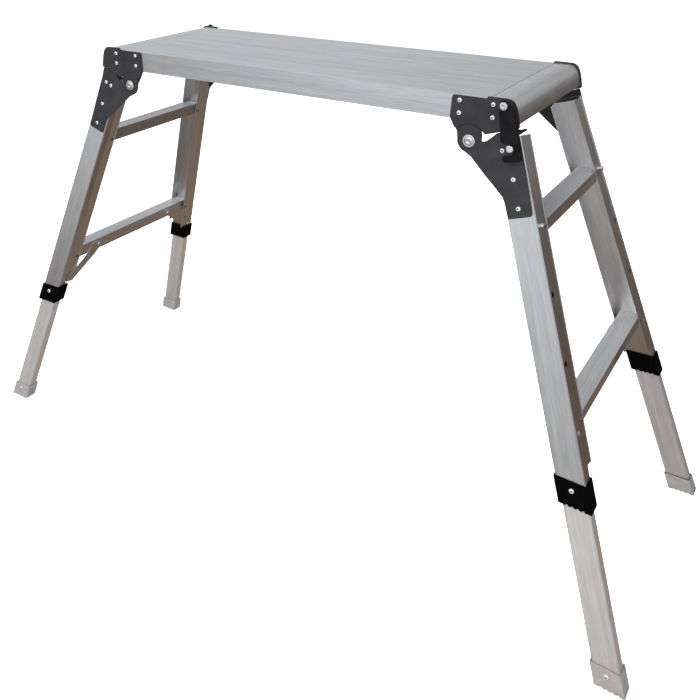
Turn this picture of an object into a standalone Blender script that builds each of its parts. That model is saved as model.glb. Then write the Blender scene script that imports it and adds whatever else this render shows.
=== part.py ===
"""Folding work platform bench: an aluminium deck on two splayed end frames with sliding legs.

Every part is drawn once for the corner with positive X and an outward Y, then placed at its corners.
Metres, Z up, deck along X, feet on Z = 0, end frames open and the sliding legs pulled out.
"""

import math

import bmesh
import bpy
from mathutils import Matrix, Vector

# Deck
DECK_TOP = 0.9275
HALF_WIDTH = 0.170
SEAM_X = 0.4235
NOSE_X = 0.4750
RAIL_HEIGHT = 0.0438
RAIL_WALL = 0.0022
BOARD_EDGE = 0.1503
LEDGE_TOP = 0.9088
GAP = 0.0003

# End frames
PIVOT_X = 0.3945
PIVOT_Z = 0.8500
SPLAY = math.radians(18.3)
FLARE = math.radians(8.5)
PLANE_OFFSET = 0.0630
WEB_AT_PIVOT = 0.1678
STILE_HALF = 0.0240
STILE_DEPTH = 0.0452
BOX_DEPTH = 0.0270
STILE_WALL = 0.0016
STILE_TOP = 0.0070
STILE_BOTTOM = 0.5900
FLANGE_CUT = 0.5600
RUNG_TOPS = {"upper": 0.7277, "lower": 0.4216}
RUNG_WIDTH = 0.0376
RUNG_HEIGHT = 0.0270
HOLE_PITCH = 0.1146
FIRST_HOLE = 0.1578
HOLE_DEPTH = 0.0135

# Sliding legs
LEG_HALF = 0.0218
LEG_IN = 0.0022
LEG_OUT = 0.0248
LEG_TOP = 0.4300
FOOT_TOP = 0.0365
FOOT_FLOOR = 0.0080
COLLAR_LOW = 0.2850
COLLAR_HIGH = 0.3285

# Hinges and latch
PLATE_IN = 0.1703
PLATE_OUT = 0.1733
EAR_IN = 0.1667
LEG_PLATE_IN = 0.1707
LEG_PLATE_OUT = 0.1737
HINGE_RIVETS = ((0.374, 0.918), (0.374, 0.896), (0.4325, 0.918), (0.4325, 0.896))
LEG_RIVETS = ((-0.0092, 0.0258), (0.0064, 0.0248), (0.0, 0.0750), (-0.0006, 0.1228))
LATCH_PIVOT = (0.4549, 0.9212)
LATCH_PIN = (0.4678, 0.8486)

ALONG_PLANE = Vector((math.sin(SPLAY), 0, -math.cos(SPLAY)))
PLANE_NORMAL = Vector((math.cos(SPLAY), 0, math.sin(SPLAY)))
OUTWARD = Vector((0, 1, 0))
STILE_AXIS = ALONG_PLANE * math.cos(FLARE) + OUTWARD * math.sin(FLARE)
WEB_NORMAL = OUTWARD * math.cos(FLARE) - ALONG_PLANE * math.sin(FLARE)
PLANE_START = Vector((PIVOT_X, 0, PIVOT_Z)) + PLANE_NORMAL * PLANE_OFFSET
STILE_START = PLANE_START + OUTWARD * WEB_AT_PIVOT

RIGHT, LEFT = 1, -1
NEAR, FAR = -1, 1
CORNERS = (
    ("near_right", RIGHT, NEAR),
    ("far_right", RIGHT, FAR),
    ("near_left", LEFT, NEAR),
    ("far_left", LEFT, FAR),
)
LATCHED = ("near_right", "far_left")


def clear_scene():
    for item in list(bpy.data.objects):
        bpy.data.objects.remove(item, do_unlink=True)


def material(name, colour, metallic, roughness):
    made = bpy.data.materials.new(name)
    made.use_nodes = True
    shader = made.node_tree.nodes["Principled BSDF"]
    shader.inputs["Base Color"].default_value = (*colour, 1)
    shader.inputs["Metallic"].default_value = metallic
    shader.inputs["Roughness"].default_value = roughness
    return made


def frame_matrix(origin, x_axis, y_axis, z_axis):
    turn = Matrix((x_axis, y_axis, z_axis)).transposed()
    return Matrix.Translation(origin) @ turn.to_4x4()


# Local X, Y, Z of a drawing turned into (x, outward y, z) of the canonical corner
SIDE_VIEW = frame_matrix(Vector((0, 0, 0)), Vector((1, 0, 0)), Vector((0, 0, 1)), Vector((0, -1, 0)))
END_VIEW = frame_matrix(Vector((0, 0, 0)), Vector((0, 1, 0)), Vector((0, 0, 1)), Vector((1, 0, 0)))
STILE_VIEW = frame_matrix(STILE_START, PLANE_NORMAL, -WEB_NORMAL, STILE_AXIS)


def evaluated(item):
    """The finished mesh of an object, welded, and the object gone."""
    bpy.context.view_layer.update()
    seen = item.evaluated_get(bpy.context.evaluated_depsgraph_get())
    mesh = bpy.data.meshes.new_from_object(seen)
    bm = bmesh.new()
    bm.from_mesh(mesh)
    bm.transform(item.matrix_world)
    bmesh.ops.remove_doubles(bm, verts=bm.verts, dist=1e-6)
    bmesh.ops.dissolve_degenerate(bm, edges=bm.edges, dist=1e-7)
    bmesh.ops.recalc_face_normals(bm, faces=bm.faces)
    bpy.data.objects.remove(item, do_unlink=True)
    return bm


def drawn(outlines, low, high, view):
    """Closed outlines filled and pushed out from low to high, holes where one lies inside another."""
    curve = bpy.data.curves.new("drawing", "CURVE")
    curve.dimensions = "2D"
    curve.fill_mode = "BOTH"
    curve.extrude = (high - low) / 2
    curve.resolution_u = 1
    curve.render_resolution_u = 0
    for outline in outlines:
        spline = curve.splines.new("POLY")
        spline.points.add(len(outline) - 1)
        for point, (x, y) in zip(spline.points, outline):
            point.co = (x, y, 0, 1)
        spline.use_cyclic_u = True
    item = bpy.data.objects.new("drawing", curve)
    bpy.context.scene.collection.objects.link(item)
    item.matrix_world = view @ Matrix.Translation((0, 0, (low + high) / 2))
    return evaluated(item)


def outward_sheet(outlines, low, high):
    """A plate drawn in (x, z) between two outward distances."""
    return drawn(outlines, -high, -low, SIDE_VIEW)


def block(low, high, view=None):
    bm = bmesh.new()
    bmesh.ops.create_cube(bm, size=1)
    size = Vector(high) - Vector(low)
    middle = (Vector(high) + Vector(low)) / 2
    bm.transform(Matrix.Translation(middle) @ Matrix.Diagonal((*size, 1)))
    if view:
        bm.transform(view)
    return bm


def lathe(profile, view, sides):
    """A profile of (radius, height) turned about local Z; both ends lie on the axis."""
    bm = bmesh.new()
    points = [bm.verts.new((radius, 0, height)) for radius, height in profile]
    edges = [bm.edges.new(pair) for pair in zip(points, points[1:])]
    bmesh.ops.spin(
        bm,
        geom=points + edges,
        cent=(0, 0, 0),
        axis=(0, 0, 1),
        angle=2 * math.pi,
        steps=sides,
        use_merge=True,
    )
    bmesh.ops.remove_doubles(bm, verts=bm.verts, dist=1e-7)
    bmesh.ops.dissolve_degenerate(bm, edges=bm.edges, dist=1e-8)
    bmesh.ops.recalc_face_normals(bm, faces=bm.faces)
    bm.transform(view)
    return bm


def rod(radius, low, high, view, sides):
    return lathe(((0, low), (radius, low), (radius, high), (0, high)), view, sides)


def ring(centre, radius, count):
    """A circle's corners, turned so that no two of them are level."""
    turn = 0.2
    return [
        (
            centre[0] + radius * math.cos(turn + 2 * math.pi * i / count),
            centre[1] + radius * math.sin(turn + 2 * math.pi * i / count),
        )
        for i in range(count)
    ]


def arc(centre, radius, start, end, steps):
    angles = [math.radians(start + (end - start) * i / steps) for i in range(steps + 1)]
    return [(centre[0] + radius * math.cos(a), centre[1] + radius * math.sin(a)) for a in angles]


def holder(bm, name):
    mesh = bpy.data.meshes.new(name)
    bm.to_mesh(mesh)
    item = bpy.data.objects.new(name, mesh)
    bpy.context.scene.collection.objects.link(item)
    return item


def combined(bm, others, operation):
    for other in others:
        item, tool = holder(bm, "work"), holder(other, "tool")
        change = item.modifiers.new("combine", "BOOLEAN")
        change.operation = operation
        change.solver = "EXACT"
        change.object = tool
        bm = evaluated(item)
        bpy.data.objects.remove(tool, do_unlink=True)
    return bm


def without(bm, *others):
    return combined(bm, others, "DIFFERENCE")


def joined(bm, *others):
    return combined(bm, others, "UNION")


def within(bm, other):
    return combined(bm, (other,), "INTERSECT")


def place(bm, name, x_side, y_side, look):
    """Puts a canonical part at a corner as a named object."""
    bm = bm.copy()
    bm.transform(Matrix.Diagonal((x_side, y_side, 1, 1)))
    if x_side * y_side < 0:
        bmesh.ops.reverse_faces(bm, faces=bm.faces)
    mesh = bpy.data.meshes.new(name)
    bm.to_mesh(mesh)
    bm.free()
    mesh.materials.append(look)
    item = bpy.data.objects.new(name, mesh)
    PARTS.objects.link(item)
    return item


def on_axis(item, x, y, z):
    """Moves an object's origin onto the point its joint turns or slides about."""
    item.data.transform(Matrix.Translation((-x, -y, -z)))
    item.location = (x, y, z)


def at_plane(n, u):
    """A point (x, z) of the end frame's middle plane, n along its normal and u down from the pivot."""
    point = PLANE_START + PLANE_NORMAL * n + ALONG_PLANE * u
    return (point.x, point.z)


def outward_view(x, z):
    return frame_matrix(Vector((x, 0, z)), Vector((1, 0, 0)), Vector((0, 0, -1)), OUTWARD)


def web_view(n, u):
    """Origin on the stile's outer web face, local Z pointing out of it."""
    along = u / math.cos(FLARE)
    origin = STILE_START + PLANE_NORMAL * n + STILE_AXIS * along
    return frame_matrix(origin, PLANE_NORMAL, STILE_AXIS, WEB_NORMAL)


# ---- deck ----


def deck_board():
    top, skin = DECK_TOP, DECK_TOP - 0.0024
    low = LEDGE_TOP + GAP
    outline = [(GAP, low), (GAP, top - 0.0010), (0.0013, top)]
    for groove in (0.0260, 0.0570, 0.0880, 0.1190):
        outline += [(groove - 0.0014, top), (groove, top - 0.0011), (groove + 0.0014, top)]
    outline += [(BOARD_EDGE - 0.0010, top), (BOARD_EDGE, top - 0.0010), (BOARD_EDGE, skin)]
    for rib in (0.1470, 0.1020, 0.0530):
        outline += [(rib, skin), (rib, low), (rib - 0.0020, low), (rib - 0.0020, skin)]
    outline += [(GAP + 0.0020, skin), (GAP + 0.0020, low)]
    return drawn([outline], -SEAM_X + GAP, SEAM_X - GAP, END_VIEW)


def side_rail():
    out, wall = HALF_WIDTH, HALF_WIDTH - RAIL_WALL
    top, low = DECK_TOP, DECK_TOP - RAIL_HEIGHT
    outline = [
        (out, low),
        (out, top - 0.0014),
        (out - 0.0014, top),
        (BOARD_EDGE + 0.0013, top),
        (BOARD_EDGE + 0.0003, top - 0.0010),
        (BOARD_EDGE + 0.0003, top - RAIL_WALL),
        (wall, top - RAIL_WALL),
        (wall, LEDGE_TOP),
        (0.1420, LEDGE_TOP),
        (0.1420, LEDGE_TOP - 0.0020),
        (wall, LEDGE_TOP - 0.0020),
        (wall, low + RAIL_WALL),
        (0.1500, low + RAIL_WALL),
        (0.1500, low),
    ]
    rail = drawn([outline], -0.450, 0.450, END_VIEW)
    for side in (RIGHT, LEFT):
        inner, outer = sorted((side * (SEAM_X - GAP), side * 0.460))
        notch = sorted((side * 0.360, side * 0.460))
        rail = without(
            rail,
            block((inner, 0.130, 0.880), (outer, wall - 1e-5, 0.930)),
            block((inner, 0.130, 0.9240), (outer, 0.180, 0.930)),
            block((inner, 0.130, 0.880), (outer, 0.180, 0.8912)),
            block((notch[0], 0.130, LEDGE_TOP - 0.003), (notch[1], wall - 1e-5, LEDGE_TOP + 0.001)),
        )
        for x, z in HINGE_RIVETS:
            rail = without(rail, rod(0.0029, 0.160, 0.175, outward_view(side * x, z), 8))
    return rail


def end_nose():
    skin = [
        (0.4520, 0.9275),
        (0.4588, 0.9263),
        (0.4640, 0.9231),
        (0.4680, 0.9180),
        (0.4709, 0.9110),
        (0.4731, 0.9025),
        (0.4745, 0.8945),
        (NOSE_X, 0.8882),
    ]
    hollow = [
        (0.4516, 0.9251),
        (0.4578, 0.9240),
        (0.4624, 0.9211),
        (0.4659, 0.9166),
        (0.4687, 0.9100),
        (0.4708, 0.9018),
        (0.4724, 0.8906),
    ]
    outer = [(SEAM_X + GAP, 0.8882), (SEAM_X + GAP, 0.9265), (SEAM_X + 0.0013, 0.9275)] + skin
    inner = [(SEAM_X + 0.0027, 0.8906), (SEAM_X + 0.0027, 0.9251)] + hollow
    nose = outward_sheet([outer, inner], -HALF_WIDTH, HALF_WIDTH)
    for side in (NEAR, FAR):
        low, high = sorted((side * 0.1628, side * 0.180))
        nose = without(nose, block((0.4200, low, 0.8900), (0.4264, high, 0.9250)))
    return nose


# ---- hinges on the deck ----


def hinge_plate(latched):
    outline = [
        (0.3600, 0.9215),
        (0.3611, 0.9248),
        (0.3640, 0.9262),
        (0.4205, 0.9262),
        (0.4222, 0.9302),
        (0.4560, 0.9302),
        (0.4622, 0.9288),
        (0.4672, 0.9250),
        (0.4707, 0.9190),
        (0.4735, 0.9110),
        (0.4760, 0.9000),
        (0.4778, 0.8890),
        (0.4780, 0.8848),
        at_plane(0.0255, -0.0056),
    ]
    pivot = (PIVOT_X, PIVOT_Z)
    seam_end = at_plane(-0.0340, -0.0056)
    outline += [seam_end] + arc(pivot, 0.0297, 31, 142, 9)
    outline += [(0.3660, 0.8700), (0.3590, 0.8832), (0.3576, 0.8880)]
    holes = [ring(rivet, 0.0030, 8) for rivet in HINGE_RIVETS]
    if latched:
        holes.append(ring(LATCH_PIVOT, 0.0045, 12))
    ear = [(0.3592, 0.8832), (0.3664, 0.8695), (0.3760, 0.8540)]
    ear += arc(pivot, 0.0178, 180, 360, 9) + [(0.4120, 0.8832)]
    plate = outward_sheet([outline] + holes, PLATE_IN, PLATE_OUT)
    return joined(plate, outward_sheet([ear, ring(pivot, 0.0063, 14)], EAR_IN, PLATE_IN + 0.0001))


def rivet_profile(shank, head, start, seat, dome):
    """Shank from start to the seat, then a low round head."""
    return [
        (0, start),
        (shank, start),
        (shank, seat),
        (head, seat),
        (head, seat + dome * 0.35),
        (head * 0.72, seat + dome * 0.85),
        (0, seat + dome),
    ]


def hinge_rivets():
    back = block((0.3668, 0.1640, 0.8925), (0.4396, 0.1674, 0.9220))
    profile = rivet_profile(0.0026, 0.0040, 0.1660, PLATE_OUT + 0.0002, 0.0023)
    return joined(back, *[lathe(profile, outward_view(x, z), 8) for x, z in HINGE_RIVETS])


def latch_pivot():
    seat = PLATE_OUT + GAP
    profile = [
        (0, PLATE_IN),
        (0.0042, PLATE_IN),
        (0.0042, seat),
        (0.0060, seat),
        (0.0060, 0.1862),
        (0.0041, 0.1862),
        (0.0041, 0.1888),
        (0.0070, 0.1888),
        (0.0070, 0.1899),
        (0.0054, 0.1914),
        (0, 0.1918),
    ]
    return lathe(profile, outward_view(*LATCH_PIVOT), 14)


def latch_hook():
    pin = LATCH_PIN
    right = [
        (0.4660, 0.9265),
        (0.4694, 0.9200),
        (0.4720, 0.9105),
        (0.4750, 0.8990),
        (0.4777, 0.8880),
        (0.4804, 0.8765),
        (0.4831, 0.8650),
        (0.4858, 0.8534),
        (0.4880, 0.8417),
        (0.4884, 0.8338),
    ]
    face = [(0.4475, 0.9150), (0.4478, 0.9235), (0.4505, 0.9290), (0.4550, 0.9318), (0.4605, 0.9305)]
    face += right
    face += [(0.4757, 0.8304), (0.4650, 0.8276), (0.4608, 0.8284), (0.4584, 0.8322), (0.4580, 0.8378)]
    face += arc(pin, 0.0091, -100, 95, 9)
    face += [(0.4560, 0.8588), (0.4536, 0.8612)]
    lip = right + [(x - 0.0021, z + 0.0003) for x, z in reversed(right)]
    hook = outward_sheet([face, ring(LATCH_PIVOT, 0.0045, 12)], 0.1865, 0.1885)
    hook = joined(hook, outward_sheet([lip], 0.1790, 0.1884))
    tab = [(0.4768, 0.8792), (0.4826, 0.8774), (0.4856, 0.8784), (0.4885, 0.8822), (0.4932, 0.8850)]
    tab += [(0.4934, 0.8868), (0.4914, 0.8878), (0.4876, 0.8868), (0.4838, 0.8850), (0.4764, 0.8846)]
    return joined(hook, outward_sheet([tab], 0.1792, 0.1876))


# ---- end frames ----


def stile():
    half, wall, box = STILE_HALF, STILE_WALL, BOX_DEPTH
    side = [
        (half - 0.0016, 0),
        (half, 0.0016),
        (half, 0.0060),
        (half - 0.0006, 0.0066),
        (half - 0.0006, 0.0424),
        (half, 0.0430),
        (half, STILE_DEPTH - 0.0006),
        (half - 0.0006, STILE_DEPTH),
        (half - wall, STILE_DEPTH),
        (half - wall, box),
    ]
    outer = side + [(-n, m) for n, m in reversed(side)]
    inside = half - wall
    inner = [(-inside, wall), (inside, wall), (inside, box - wall), (-inside, box - wall)]
    bar = drawn([outer, inner], STILE_TOP, STILE_BOTTOM, STILE_VIEW)
    bar = without(bar, block((-0.030, box + 0.00001, FLANGE_CUT), (0.030, 0.050, 0.620), STILE_VIEW))
    for n, u in LEG_RIVETS:
        bar = without(bar, rod(0.0031, -0.010, 0.010, web_view(n, u), 8))
    across = frame_matrix(Vector((0, 0, 0)), Vector((0, 1, 0)), Vector((0, 0, 1)), Vector((1, 0, 0)))
    for i in range(4):
        at = Matrix.Translation((0.020, HOLE_DEPTH, FIRST_HOLE + HOLE_PITCH * i))
        bar = without(bar, rod(0.0050, -0.001, 0.006, STILE_VIEW @ at @ across, 12))
    return bar


def middle_x(z):
    """X of the end frame's middle plane at a height."""
    return PLANE_START.x + (PLANE_START.z - z) * math.tan(SPLAY)


def rung(top):
    low = top - RUNG_HEIGHT
    x = middle_x(top - RUNG_HEIGHT / 2)
    half, wall = RUNG_WIDTH / 2, 0.0018
    outer = [(x - half, low), (x + half, low), (x + half, top - 0.0012), (x + half - 0.0012, top)]
    for i in range(4):
        groove = x + 0.0105 - 0.0070 * i
        outer += [(groove + 0.0013, top), (groove, top - 0.0008), (groove - 0.0013, top)]
    outer += [(x - half + 0.0012, top), (x - half, top - 0.0012)]
    inner = [
        (x - half + wall, low + wall),
        (x + half - wall, low + wall),
        (x + half - wall, top - wall - 0.0010),
        (x - half + wall, top - wall - 0.0010),
    ]
    bar = outward_sheet([outer, inner], -0.300, 0.300)
    beyond = block((-0.100, -0.200, -0.100), (0.100, BOX_DEPTH + GAP, 0.700), STILE_VIEW)
    mirrored = beyond.copy()
    mirrored.transform(Matrix.Diagonal((1, -1, 1, 1)))
    bmesh.ops.reverse_faces(mirrored, faces=mirrored.faces)
    return without(bar, beyond, mirrored)


def leg_plate():
    pivot = (PIVOT_X, PIVOT_Z)
    outline = [
        at_plane(0.0216, -0.0050),
        at_plane(0.0232, -0.0030),
        at_plane(0.0228, 0.0400),
        at_plane(0.0198, 0.1318),
        at_plane(0.0188, 0.1352),
        at_plane(0.0158, 0.1376),
        at_plane(-0.0205, 0.1380),
        at_plane(-0.0220, 0.1364),
        at_plane(-0.0228, 0.1100),
        at_plane(-0.0242, 0.1015),
        at_plane(-0.0290, 0.0925),
        at_plane(-0.0480, 0.0610),
        at_plane(-0.0665, 0.0275),
    ]
    outline += arc(pivot, 0.0218, -104, -188, 5)
    outline += [(0.3716, 0.8650)]
    outline += arc(pivot, 0.0288, 140, 44, 7)
    outline += [(0.4160, 0.8655), (0.4160, 0.8520), (0.4226, 0.8532), (0.4308, 0.8600)]
    outline += [at_plane(-0.0130, -0.0045)]
    holes = [ring(at_plane(n, u), 0.0035, 8) for n, u in LEG_RIVETS]
    plate = outward_sheet([outline, ring(pivot, 0.0061, 14)] + holes, LEG_PLATE_IN, LEG_PLATE_OUT)
    bend = (LEG_PLATE_IN - GAP - WEB_AT_PIVOT) / math.tan(FLARE)
    line = PLANE_START + ALONG_PLANE * bend
    bmesh.ops.bisect_plane(
        plate,
        geom=plate.verts[:] + plate.edges[:] + plate.faces[:],
        plane_co=line,
        plane_no=ALONG_PLANE,
        dist=1e-6,
    )
    for vert in plate.verts:
        beyond = (vert.co - PLANE_START).dot(ALONG_PLANE) - bend
        if beyond > 0:
            vert.co.y += beyond * math.tan(FLARE)
    bmesh.ops.triangulate(plate, faces=plate.faces)
    return plate


def pivot_pin():
    profile = [
        (0, 0.1630),
        (0.0098, 0.1630),
        (0.0098, 0.1663),
        (0.0058, 0.1663),
        (0.0058, 0.1740),
        (0.0114, 0.1740),
        (0.0114, 0.1756),
        (0.0096, 0.1776),
        (0.0066, 0.1780),
        (0.0046, 0.1762),
        (0, 0.1758),
    ]
    return lathe(profile, outward_view(PIVOT_X, PIVOT_Z), 16)


def leg_rivets(latched):
    back = block((-0.0135, 0.0020, 0.0190), (0.0105, 0.0036, 0.1300), STILE_VIEW)
    small = rivet_profile(0.0026, 0.0039, -0.0030, 0.0036, 0.0023)
    large = [
        (0, -0.0030),
        (0.0026, -0.0030),
        (0.0026, 0.0036),
        (0.0048, 0.0036),
        (0.0048, 0.0098),
        (0.0070, 0.0098),
        (0.0070, 0.0110),
        (0.0054, 0.0124),
        (0, 0.0128),
    ]
    shapes = []
    for index, (n, u) in enumerate(LEG_RIVETS):
        is_pin = latched and index == 1
        shapes.append(lathe(large if is_pin else small, web_view(n, u), 12 if is_pin else 8))
    return joined(back, *shapes)


def collar():
    low, high = COLLAR_LOW, COLLAR_HIGH
    body = block((-0.0262, -0.0024, 0.540), (0.0262, 0.0294, 0.660), STILE_VIEW)
    body = rounded_upright(body, 0.0025)
    body = within(body, block((0.50, 0.10, low), (0.80, 0.40, high)))
    socket = block((-0.0243, -0.0003, 0.500), (0.0243, 0.0273, STILE_BOTTOM + GAP), STILE_VIEW)
    guide = block((-0.0222, 0.0018, 0.500), (0.0222, 0.0252, 0.700), STILE_VIEW)
    return without(body, socket, guide, tread_grooves(low))


def tread_grooves(floor):
    """Cutters for the shallow grooves that cross an underside at a height."""
    x = middle_x(floor)
    cuts = []
    for offset in (-0.0135, -0.0045, 0.0045, 0.0135):
        middle = x + offset
        mouth = [(middle - 0.0028, floor - 0.001), (middle + 0.0028, floor - 0.001)]
        cuts.append(mouth + [(middle + 0.0010, floor + 0.0022), (middle - 0.0010, floor + 0.0022)])
    return outward_sheet(cuts, 0.18, 0.40)


def rounded_upright(bm, size):
    """Bevels the four edges that run along the stile."""
    edges = [
        e
        for e in bm.edges
        if abs((e.verts[1].co - e.verts[0].co).normalized().dot(STILE_AXIS)) > 0.999
    ]
    bmesh.ops.bevel(bm, geom=edges, offset=size, segments=2, profile=0.5, affect="EDGES")
    return bm


def knee_brace():
    """A flat strap from the lower rung's inner side to the stile's, creased where the two sides meet."""
    thick = 0.0025
    rung_mid = RUNG_TOPS["lower"] - RUNG_HEIGHT / 2
    face = middle_x(rung_mid) - RUNG_WIDTH / 2 - GAP
    crease = PLANE_START.z - (face + (STILE_HALF + GAP) / math.cos(SPLAY) - PLANE_START.x) / math.tan(SPLAY)
    outline = [
        (0.1230, 0.4130),
        (0.1255, 0.4160),
        (0.1440, 0.4160),
        (0.2070, 0.3660),
        (0.2290, 0.3575),
        (0.2290, 0.3378),
        (0.2265, 0.3353),
        (0.2085, 0.3353),
        (0.1350, 0.3940),
        (0.1230, 0.3985),
    ]
    strap = drawn([outline], face - thick, face, END_VIEW)
    bmesh.ops.bisect_plane(
        strap,
        geom=strap.verts[:] + strap.edges[:] + strap.faces[:],
        plane_co=(0, 0, crease),
        plane_no=(0, 0, -1),
        dist=1e-6,
    )
    for vert in strap.verts:
        if vert.co.z < crease:
            vert.co.x += (crease - vert.co.z) * math.tan(SPLAY)
    bmesh.ops.triangulate(strap, faces=strap.faces)
    return strap


def button_view():
    across = frame_matrix(Vector((0, 0, 0)), Vector((0, 1, 0)), Vector((0, 0, 1)), Vector((1, 0, 0)))
    return STILE_VIEW @ Matrix.Translation((0, HOLE_DEPTH, FIRST_HOLE)) @ across


def button():
    profile = [
        (0, 0.0186),
        (0.0068, 0.0186),
        (0.0068, 0.0220),
        (0.0044, 0.0220),
        (0.0044, 0.0280),
        (0.0034, 0.0298),
        (0, 0.0304),
    ]
    return lathe(profile, button_view(), 12)


# ---- sliding legs ----


def leg_outline(half, low, high, corner):
    return [
        (half - corner, low),
        (half, low + corner),
        (half, high - corner),
        (half - corner, high),
        (-half + corner, high),
        (-half, high - corner),
        (-half, low + corner),
        (-half + corner, low),
    ]


def sliding_leg():
    outer = leg_outline(LEG_HALF, LEG_IN, LEG_OUT, 0.0022)
    inner = leg_outline(LEG_HALF - 0.0018, LEG_IN + 0.0018, LEG_OUT - 0.0018, 0.0010)
    tube = drawn([outer, inner], LEG_TOP, 1.000, STILE_VIEW)
    return without(tube, block((0.5, 0.1, -0.30), (1.0, 0.5, FOOT_FLOOR + GAP)))


def foot():
    body = block((-0.0238, -0.0012, 0.840), (0.0238, 0.0282, 0.990), STILE_VIEW)
    body = rounded_upright(body, 0.0030)
    body = within(body, block((0.50, 0.10, 0), (1.00, 0.50, FOOT_TOP)))
    socket = block((-0.0221, 0.0019, 0.800), (0.0221, 0.0251, 1.050), STILE_VIEW)
    socket = within(socket, block((0.50, 0.10, FOOT_FLOOR), (1.00, 0.50, 0.2)))
    return without(body, socket, tread_grooves(0))


def build():
    alloy = material("alloy", (0.60, 0.62, 0.64), 1.0, 0.36)
    black = material("black_steel", (0.035, 0.035, 0.037), 0.0, 0.48)
    zinc = material("zinc", (0.72, 0.72, 0.74), 1.0, 0.30)
    dark = material("black_plastic", (0.012, 0.012, 0.014), 0.0, 0.55)
    pale = material("grey_plastic", (0.42, 0.40, 0.39), 0.0, 0.60)

    board = deck_board()
    rail = side_rail()
    for word, y_side in (("near", NEAR), ("far", FAR)):
        place(board, "deck_board_" + word, RIGHT, y_side, alloy)
        place(rail, "side_rail_" + word, RIGHT, y_side, alloy)
    nose = end_nose()
    bars = {level: rung(top) for level, top in RUNG_TOPS.items()}
    for word, x_side in (("right", RIGHT), ("left", LEFT)):
        place(nose, "end_nose_" + word, x_side, FAR, alloy)
        for level, bar in bars.items():
            place(bar, level + "_rung_" + word, x_side, FAR, alloy)

    shared = (
        ("hinge_rivets_", hinge_rivets(), zinc),
        ("stile_", stile(), alloy),
        ("leg_plate_", leg_plate(), black),
        ("pivot_pin_", pivot_pin(), zinc),
        ("collar_", collar(), dark),
        ("knee_brace_", knee_brace(), alloy),
        ("sliding_leg_", sliding_leg(), alloy),
        ("foot_", foot(), pale),
    )
    latched_plate, plain_plate = hinge_plate(True), hinge_plate(False)
    latched_rivets, plain_rivets = leg_rivets(True), leg_rivets(False)
    catch, stud, hook = button(), latch_pivot(), latch_hook()
    centre = button_view() @ Vector((0, 0, STILE_HALF))
    for corner, x_side, y_side in CORNERS:
        has_latch = corner in LATCHED
        for prefix, part, look in shared:
            place(part, prefix + corner, x_side, y_side, look)
        place(latched_plate if has_latch else plain_plate, "hinge_plate_" + corner, x_side, y_side, black)
        place(latched_rivets if has_latch else plain_rivets, "leg_rivets_" + corner, x_side, y_side, zinc)
        item = place(catch, "snap_button_" + corner, x_side, y_side, zinc)
        on_axis(item, x_side * centre.x, y_side * centre.y, centre.z)
        if has_latch:
            place(stud, "latch_pivot_" + corner, x_side, y_side, zinc)
            item = place(hook, "latch_hook_" + corner, x_side, y_side, black)
            on_axis(item, x_side * LATCH_PIVOT[0], y_side * 0.1875, LATCH_PIVOT[1])


clear_scene()
PARTS = bpy.data.collections.new("work_platform_bench")
bpy.context.scene.collection.children.link(PARTS)
build()
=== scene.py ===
"""Looks for the folding work platform bench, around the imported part.

Mill-finish aluminium, black powder-coated hinges, zinc rivets, plastic collars and rubber feet, with a
camera, a pale floor and soft light.
"""

import math

import bmesh
import bpy
from mathutils import Matrix, Vector


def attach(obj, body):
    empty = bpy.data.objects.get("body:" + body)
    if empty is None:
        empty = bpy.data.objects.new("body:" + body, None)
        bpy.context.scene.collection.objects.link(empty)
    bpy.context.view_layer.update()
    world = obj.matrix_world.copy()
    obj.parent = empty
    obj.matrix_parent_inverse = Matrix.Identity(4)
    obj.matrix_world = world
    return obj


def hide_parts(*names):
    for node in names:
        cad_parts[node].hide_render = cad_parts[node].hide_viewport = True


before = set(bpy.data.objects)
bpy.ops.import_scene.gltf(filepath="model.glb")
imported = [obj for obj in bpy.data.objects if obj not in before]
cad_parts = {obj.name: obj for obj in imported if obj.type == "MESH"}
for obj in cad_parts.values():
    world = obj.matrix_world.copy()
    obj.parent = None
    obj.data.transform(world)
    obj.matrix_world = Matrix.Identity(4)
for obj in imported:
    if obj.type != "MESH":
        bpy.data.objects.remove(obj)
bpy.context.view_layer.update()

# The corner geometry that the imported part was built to. The far right corner is the one that is drawn,
# and the others are its mirror images.
PIVOT_X = 0.3945
PIVOT_Z = 0.8500
SPLAY = math.radians(18.3)
FLARE = math.radians(8.5)
PLANE_OFFSET = 0.0630
WEB_AT_PIVOT = 0.1678
LATCH_PIVOT = (0.4549, 0.9212)
HINGE_RIVETS = ((0.374, 0.918), (0.374, 0.896), (0.4325, 0.918), (0.4325, 0.896))
LEG_RIVETS = ((-0.0092, 0.0258), (0.0064, 0.0248), (0.0, 0.0750), (-0.0006, 0.1228))
CATCH_PIN = 1
FIRST_HOLE = 0.1578
HOLE_DEPTH = 0.0135
STILE_HALF = 0.0240
BOX_DEPTH = 0.0270
GAP = 0.0003
PLATE_OUT = 0.1733
TREADS = {"upper": 0.7277, "lower": 0.4216}
TREAD_WIDTH = 0.0376
TREAD_HEIGHT = 0.0270

# Plates that lie behind a hinge plate's and a leg plate's rivets: low and high corners
DECK_BACKING = ((0.3668, 0.1640, 0.8925), (0.4396, 0.1674, 0.9220))
LEG_BACKING = ((-0.0135, 0.0020, 0.0190), (0.0105, 0.0036, 0.1300))

# A tread's broken edges, and the ribs cut along its top
TREAD_CORNER = 0.0008
TREAD_SHOULDER = 0.0012
TREAD_CHAMFER = 0.0004
RIBS = 14
RIB_PITCH = 0.0024
RIB_DEPTH = 0.00035
RIB_INSET = 0.0030
RIB_MOUTH = 0.0007
RIB_FLOOR = 0.0002

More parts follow.
